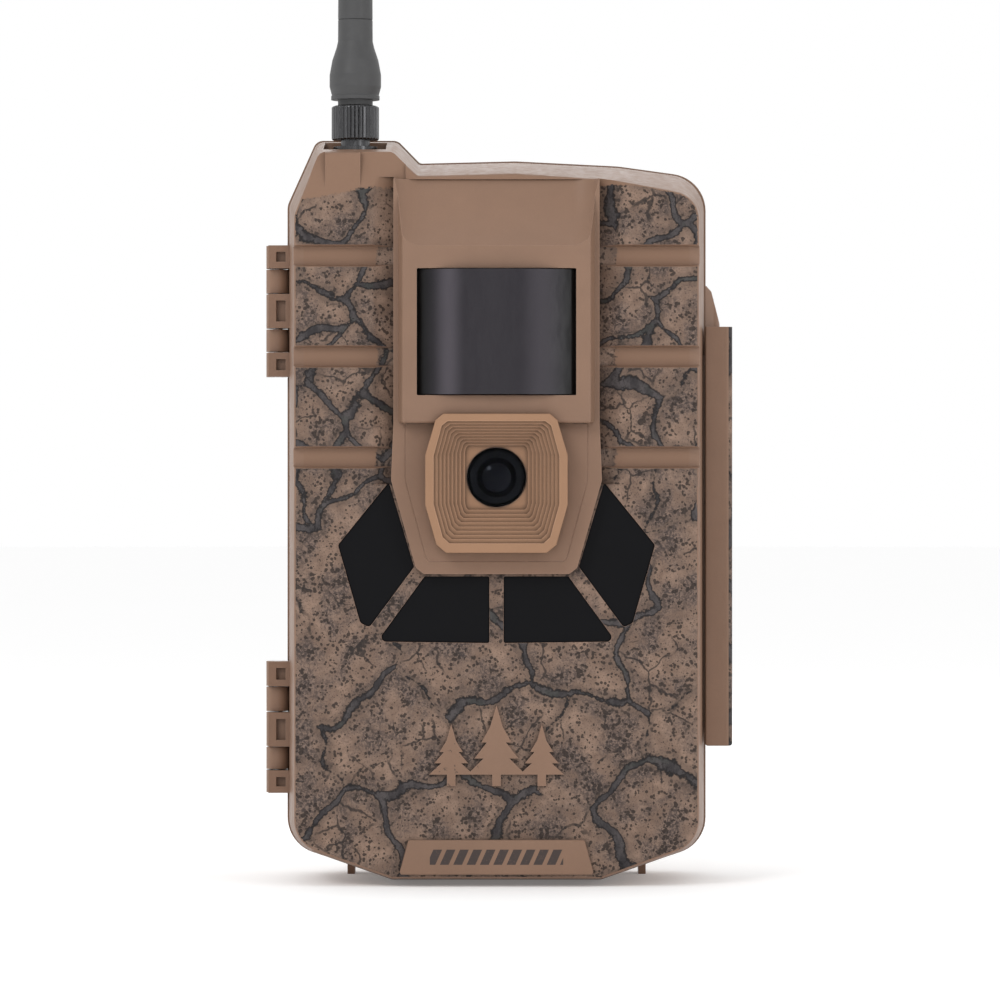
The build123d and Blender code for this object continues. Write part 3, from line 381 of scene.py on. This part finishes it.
BROWN = (0.232, 0.138, 0.092)
TAN = (0.320, 0.178, 0.102)
M = {
    "brown": moulded_plastic("brown_moulding", BROWN, 0.46),
    # Strong painted shade in the tan bezel's step grooves
    "tan": moulded_plastic("tan_moulding", TAN, 0.45, edge=0.05, corner_shade=0.85, reach=1.3),
    "badge": moulded_plastic("badge_moulding", BROWN, 0.46, marks_and_painted_light=chipped),
    "plaque": moulded_plastic("plaque_moulding", BROWN, 0.46, marks_and_painted_light=plaque_marks),
    "camo": camo_print("mud_crack_print", BROWN),
    "camo_wrap": camo_print("mud_crack_wrap", BROWN, crack_attribute=False),
    "black_window": smooth_gloss("infrared_window", (0.005, 0.005, 0.006), 0.36, 0.0, grain=0.004,
                                 specular=0.08),
    "motion_window": moulded_plastic("motion_window_film", (0.022, 0.019, 0.024), 0.33, grain=0.5, depth=0.004,
                                     edge=0.1, uneven=0.03, specular=0.25, corner_shade=0.0, painted_edge_highlight=0.0,
                                     marks_and_painted_light=film_painted_shadow_and_highlight),
    "black_plastic": moulded_plastic("black_moulding", (0.006, 0.006, 0.007), 0.42, specular=0.10,
                                     painted_edge_highlight=0.1),
    "panel": moulded_plastic("inner_panel_moulding", (0.028, 0.028, 0.030), 0.5, painted_edge_highlight=0.25),
    "steel": metal("steel", (0.56, 0.56, 0.57)),
    "brass": metal("brass", (0.72, 0.50, 0.22)),
    "nut": metal("dark_plated_nut", (0.085, 0.085, 0.088), 0.25, wear=0.1),
    "gasket": rubber("seal_rubber", (0.020, 0.020, 0.021)),
    "whip": rubber("antenna_rubber", (0.055, 0.055, 0.056), 0.50),
    "key": rubber("key_rubber", (0.075, 0.077, 0.080), 0.55),
    "board": circuit_board("circuit_board"),
    "cells": cell_wrap("cell_wrap"),
    "display": smooth_gloss("display_glass", (0.012, 0.014, 0.018), 0.08, 0.8),
    "card": smooth_gloss("card_plastic", (0.012, 0.022, 0.060), 0.38, 0.1),
    "glass": smooth_gloss("coated_glass", (0.80, 0.84, 0.92), 0.02, 0.0, transmission=1.0, ior=1.12,
                          specular=0.3),
    "lens_glass": smooth_gloss("lens_glass", (0.002, 0.002, 0.004), 0.05, 0.03, specular=0.08),
    "led": smooth_gloss("lamp_resin", (0.10, 0.07, 0.09), 0.10, 0.3),
}
LOOKS = {
    "rear_housing": "brown", "rear_bracket": "brown", "bracket_screws": "steel", "tripod_insert": "brass",
    "main_gasket": "gasket", "battery_tray": "black_plastic", "aa_cells": "cells", "spring_contacts": "steel",
    "plate_contacts": "steel", "contact_pads": "brass", "hinge_pins": "steel", "latch_pin": "steel",
    "dc_jack": "black_plastic", "dc_plug": "gasket", "latch_lever": "brown", "front_cover": "brown",
    "sensor_pod": "brown", "lens_bezel": "tan", "lens_window": "glass", "front_lens": "lens_glass",
    "lens_barrel": "black_plastic", "lens_holder": "black_plastic", "ir_cut_filter": "glass",
    "sensor_board": "board", "image_sensor": "display", "pir_window": "motion_window", "pir_board": "board",
    "pir_sensor": "steel", "led_board": "board", "ir_leds": "led", "emblem": "badge",
    "lower_plaque": "plaque",
    "main_board": "board", "modem_module": "steel", "sma_jack": "nut", "coax_pigtail": "gasket",
    "inner_panel": "panel", "panel_screws": "steel", "display": "display", "display_window": "glass",
    "usb_port": "steel", "sd_socket": "steel", "sim_socket": "steel", "dome_switches": "steel",
    "contact_pins": "brass", "power_switch": "key", "sd_card": "card", "sim_card": "card",
    "antenna_nut": "nut", "antenna_whip": "whip",
}


def dress(obj, *materials):
    """Gives an object these materials in place of what it has."""
    indices = np.empty(len(obj.data.polygons), dtype=np.int32)
    obj.data.polygons.foreach_get("material_index", indices)
    obj.data.materials.clear()
    for m in materials:
        obj.data.materials.append(m)
    obj.data.polygons.foreach_set("material_index", np.minimum(indices, len(materials) - 1))


for node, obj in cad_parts.items():
    look = LOOKS.get(node)
    if node.startswith("ir_window"):
        look = "black_window"
    if node.startswith("button"):
        look = "key"
    dress(obj, M[look])


# ------------------------------------------------------------------ camera, light, floor
SENSOR = 36.0
EYE_TO_FRONT = 1.100
VIEW_WIDTH = 0.210
FRONT_PADS_Y = -0.037
EYE = Vector((0.735 * MM, FRONT_PADS_Y - EYE_TO_FRONT, 81.235 * MM))
camera = bpy.data.objects.new("camera", bpy.data.cameras.new("camera"))
camera.data.sensor_width = SENSOR
camera.data.lens = SENSOR * EYE_TO_FRONT / VIEW_WIDTH
camera.data.clip_start, camera.data.clip_end = 0.05, 30.0
camera.location = EYE
camera.rotation_euler = (math.radians(90), 0, 0)
bpy.context.collection.objects.link(camera)

scene = bpy.context.scene
scene.camera = camera
scene.view_settings.view_transform = "Standard"
scene.view_settings.look = "None"
world = bpy.data.worlds.new("studio")
scene.world = world
world.use_nodes = True
# White behind the object, a little softer from the front
background = world.node_tree.nodes["Background"]
sky = world.node_tree.nodes.new("ShaderNodeTexCoord")
split = world.node_tree.nodes.new("ShaderNodeSeparateXYZ")
ramp = world.node_tree.nodes.new("ShaderNodeMapRange")
world.node_tree.links.new(sky.outputs["Generated"], split.inputs[0])
world.node_tree.links.new(split.outputs[1], ramp.inputs["Value"])
for socket, value in (("From Min", -0.6), ("From Max", 0.2), ("To Min", 0.62), ("To Max", 1.0)):
    ramp.inputs[socket].default_value = value
world.node_tree.links.new(ramp.outputs[0], background.inputs[1])
background.inputs[0].default_value = (1.0, 1.0, 1.0, 1.0)

AIM = Vector((0, -0.03, 0.09))


def softbox(name, at, size, power):
    """Rectangular studio lamp turned towards the middle of the body."""
    lamp = bpy.data.lights.new(name, "AREA")
    lamp.shape = "RECTANGLE"
    lamp.size, lamp.size_y = size
    lamp.energy = power
    obj = bpy.data.objects.new(name, lamp)
    obj.location = at
    obj.rotation_euler = (AIM - Vector(at)).to_track_quat("-Z", "Y").to_euler()
    bpy.context.collection.objects.link(obj)


softbox("key", (-0.55, -0.95, 0.75), (0.35, 0.35), 3.4)
softbox("fill", (0.75, -0.85, 0.30), (0.3, 0.6), 1.6)
softbox("top", (0.05, -0.25, 0.95), (0.5, 0.25), 0.5)
softbox("rim_left", (-0.85, 0.15, 0.25), (0.3, 0.8), 0.2)
softbox("rim_right", (0.85, 0.15, 0.25), (0.3, 0.8), 0.2)
softbox("catch_light", (-0.02, -1.05, 0.40), (0.05, 0.05), 0.6)
softbox("back", (0.0, 1.0, 0.6), (0.8, 0.5), 1.5)

bpy.ops.mesh.primitive_circle_add(vertices=96, radius=8.0, fill_type="NGON", location=(0, 0, 0))
floor = bpy.context.object
floor.name = "floor"
pale = Graph("pale_floor")
pale.surface(pale.mix(pale.noise(400.0), (0.97, 0.97, 0.97), (0.98, 0.98, 0.98)), 0.9, specular=0.0)
dress(floor, pale.material)
pale.shader.inputs["Emission Color"].default_value = (1.0, 1.0, 1.0, 1.0)
pale.shader.inputs["Emission Strength"].default_value = 0.14

# ------------------------------------------------------------------ printed front cover
# Dried mud breaks into plates: one seed per plate, on loose grids, small above and large below
PLATES = (
    # lowest and highest z, plate width and height, in mm
    (88.0, 156.0, 13.0, 11.0),
    (-8.0, 88.0, 21.0, 18.0),
)
PRINT_HALF_WIDTH = 50.0
chance = random.Random(11)


def plate_seeds():
    """Centres of the plates, in mm, every other row shifted by half a plate."""
    seeds = []
    for bottom, top, wide, tall in PLATES:
        for row in range(int((top - bottom) / tall) + 1):
            shift = wide / 2 if row % 2 else 0.0
            for column in range(int(2 * PRINT_HALF_WIDTH / wide) + 2):
                x = -PRINT_HALF_WIDTH - wide / 2 + shift + column * wide + chance.uniform(-0.32, 0.32) * wide
                z = bottom + row * tall + chance.uniform(-0.30, 0.30) * tall
                seeds.append((x, z))
    return np.array(seeds)


def crack_widths(seeds):
    """Half width in mm of the crack between each two plates: most are clear, some hairline, some closed."""
    count = len(seeds)
    half = np.zeros((count, count))
    for i in range(count):
        for j in range(i + 1, count):
            kind = chance.random()
            open_by = chance.uniform(0.45, 0.95)
            if kind < 0.20:
                open_by = 0.12
            if kind > 0.86:
                open_by = -4.0
            half[i, j] = half[j, i] = open_by
    return half


def crack_distance(points):
    """Distance in mm from each (x, z) to the edge of the nearest crack, negative inside it."""
    seeds = plate_seeds()
    half = crack_widths(seeds)
    x, z = points.T
    bent = points + np.stack((1.5 * np.sin(z / 4.3 + x / 9.0) + 0.7 * np.sin(z / 1.7 - x / 3.1),
                              1.5 * np.sin(x / 5.1 - z / 8.0) + 0.7 * np.sin(x / 1.9 + z / 2.7)), axis=1)
    squares = ((bent[:, None, :] - seeds[None]) ** 2).sum(axis=2)
    home = squares.argmin(axis=1)
    nearest = squares[np.arange(len(points)), home]
    best = np.full(len(points), 9.0)
    for other in range(len(seeds)):
        apart = np.hypot(*(seeds[home] - seeds[other]).T)
        away = (squares[:, other] - nearest) / (2 * np.maximum(apart, 1e-6)) - half[home, other]
        best = np.where(home == other, best, np.minimum(best, away))
    return best


def copy_mesh(node, name):
    """An editable copy of a CAD node's mesh, welded."""
    bm = bmesh.new()
    bm.from_mesh(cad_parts[node].data)
    bmesh.ops.remove_doubles(bm, verts=bm.verts, dist=2e-6)
    mesh = bpy.data.meshes.new(name)
    obj = bpy.data.objects.new(name, mesh)
    bpy.context.collection.objects.link(obj)
    return obj, bm


def refine(bm, wanted, longest):
    """Halves the long edges of the wanted faces, for at most nine rounds."""
    marked = bm.faces.layers.int.new("wanted")
    for f in bm.faces:
        f[marked] = 1 if wanted(f) else 0
    for _ in range(9):
        edges = [e for e in bm.edges
                 if e.calc_length() > longest and any(f[marked] for f in e.link_faces)]
        if not edges:
            break
        bmesh.ops.subdivide_edges(bm, edges=edges, cuts=1, use_grid_fill=True)
        wide = [f for f in bm.faces if len(f.verts) > 4]
        bmesh.ops.triangulate(bm, faces=wide, quad_method="SHORT_EDGE", ngon_method="EAR_CLIP")


def finish_mesh(obj, bm, angle=28.0):
    """Writes the mesh back with smooth faces and creases at real corners."""
    for f in bm.faces:
        f.smooth = True
    for e in bm.edges:
        e.smooth = len(e.link_faces) != 2 or e.calc_face_angle(0.0) < math.radians(angle)
    bm.to_mesh(obj.data)
    bm.free()


def printed(face):
    """Front faces of the raised pads, of the bars and of the slopes beside the pod."""
    return face.normal.y < -0.85 and face.calc_center_median().y < -35.2 * MM


cover, bm = copy_mesh("front_cover", "front_cover_printed")
inner_edges = [e for e in bm.edges
               if len(e.link_faces) == 2 and all(printed(f) for f in e.link_faces)]
bmesh.ops.dissolve_limit(bm, angle_limit=math.radians(0.3), edges=inner_edges,
                         verts=[v for v in bm.verts if all(printed(f) for f in v.link_faces)])
bmesh.ops.triangulate(bm, faces=[f for f in bm.faces if len(f.verts) > 3], quad_method="BEAUTY",
                      ngon_method="BEAUTY")
refine(bm, printed, 0.6 * MM)
for f in bm.faces:
    f.material_index = 1 if printed(f) else 0
finish_mesh(cover, bm)
dress(cover, M["brown"], M["camo"])
positions = np.empty(len(cover.data.vertices) * 3)
cover.data.vertices.foreach_get("co", positions)
flat_points = positions.reshape(-1, 3)[:, (0, 2)] / MM
crack = cover.data.attributes.new("crack", "FLOAT", "POINT")
crack.data.foreach_set("value", np.clip(crack_distance(flat_points), -3, 8).astype(np.float32))
# Distance in mm inside the print's borders: the shoulder, the pod, the crown and the plain bars
BARS_Z = (132.6, 111.4, 90.2)
BAR_HALF = 2.15
BAR_INNER_END = 25.4
POD_HALF = 21.4
POD_PLAIN_FROM_Z = 100.0
SHOULDER_RIGHT = -20
SHOULDER_Z = 144.6
CROWN_Z = 147.6
DEEP = 3.0
x, z = flat_points.T
rise = np.clip(x + 40, 0, 12) * 0.2
shoulder = np.where(x < SHOULDER_RIGHT, (SHOULDER_Z + rise - z) / 0.8, 9.0)
under_pod = np.where((np.abs(x) < POD_HALF) & (z > POD_PLAIN_FROM_Z), -DEEP, DEEP)
crown = np.where(x > 0, (CROWN_Z - z) / 0.6, DEEP)
on_bar = np.min([np.abs(z - bar) for bar in BARS_Z], axis=0) < BAR_HALF
bars = np.where(on_bar, (BAR_INNER_END - np.abs(x)) / 0.9, DEEP)
ink = np.clip(np.min([shoulder, under_pod, crown, bars], axis=0), -DEEP, DEEP)
border = cover.data.attributes.new("print", "FLOAT", "POINT")
border.data.foreach_set("value", ink.astype(np.float32))
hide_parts("front_cover")
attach(cover, "cover")

# ------------------------------------------------------------------ latch with its wrapped outer side
latch, bm = copy_mesh("latch_lever", "latch_lever_printed")
for f in bm.faces:
    c = f.calc_center_median()
    f.material_index = 1 if f.normal.x > 0.35 and c.x > 48.6 * MM else 0
finish_mesh(latch, bm)
dress(latch, M["brown"], M["camo_wrap"])
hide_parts("latch_lever")
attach(latch, "latch")
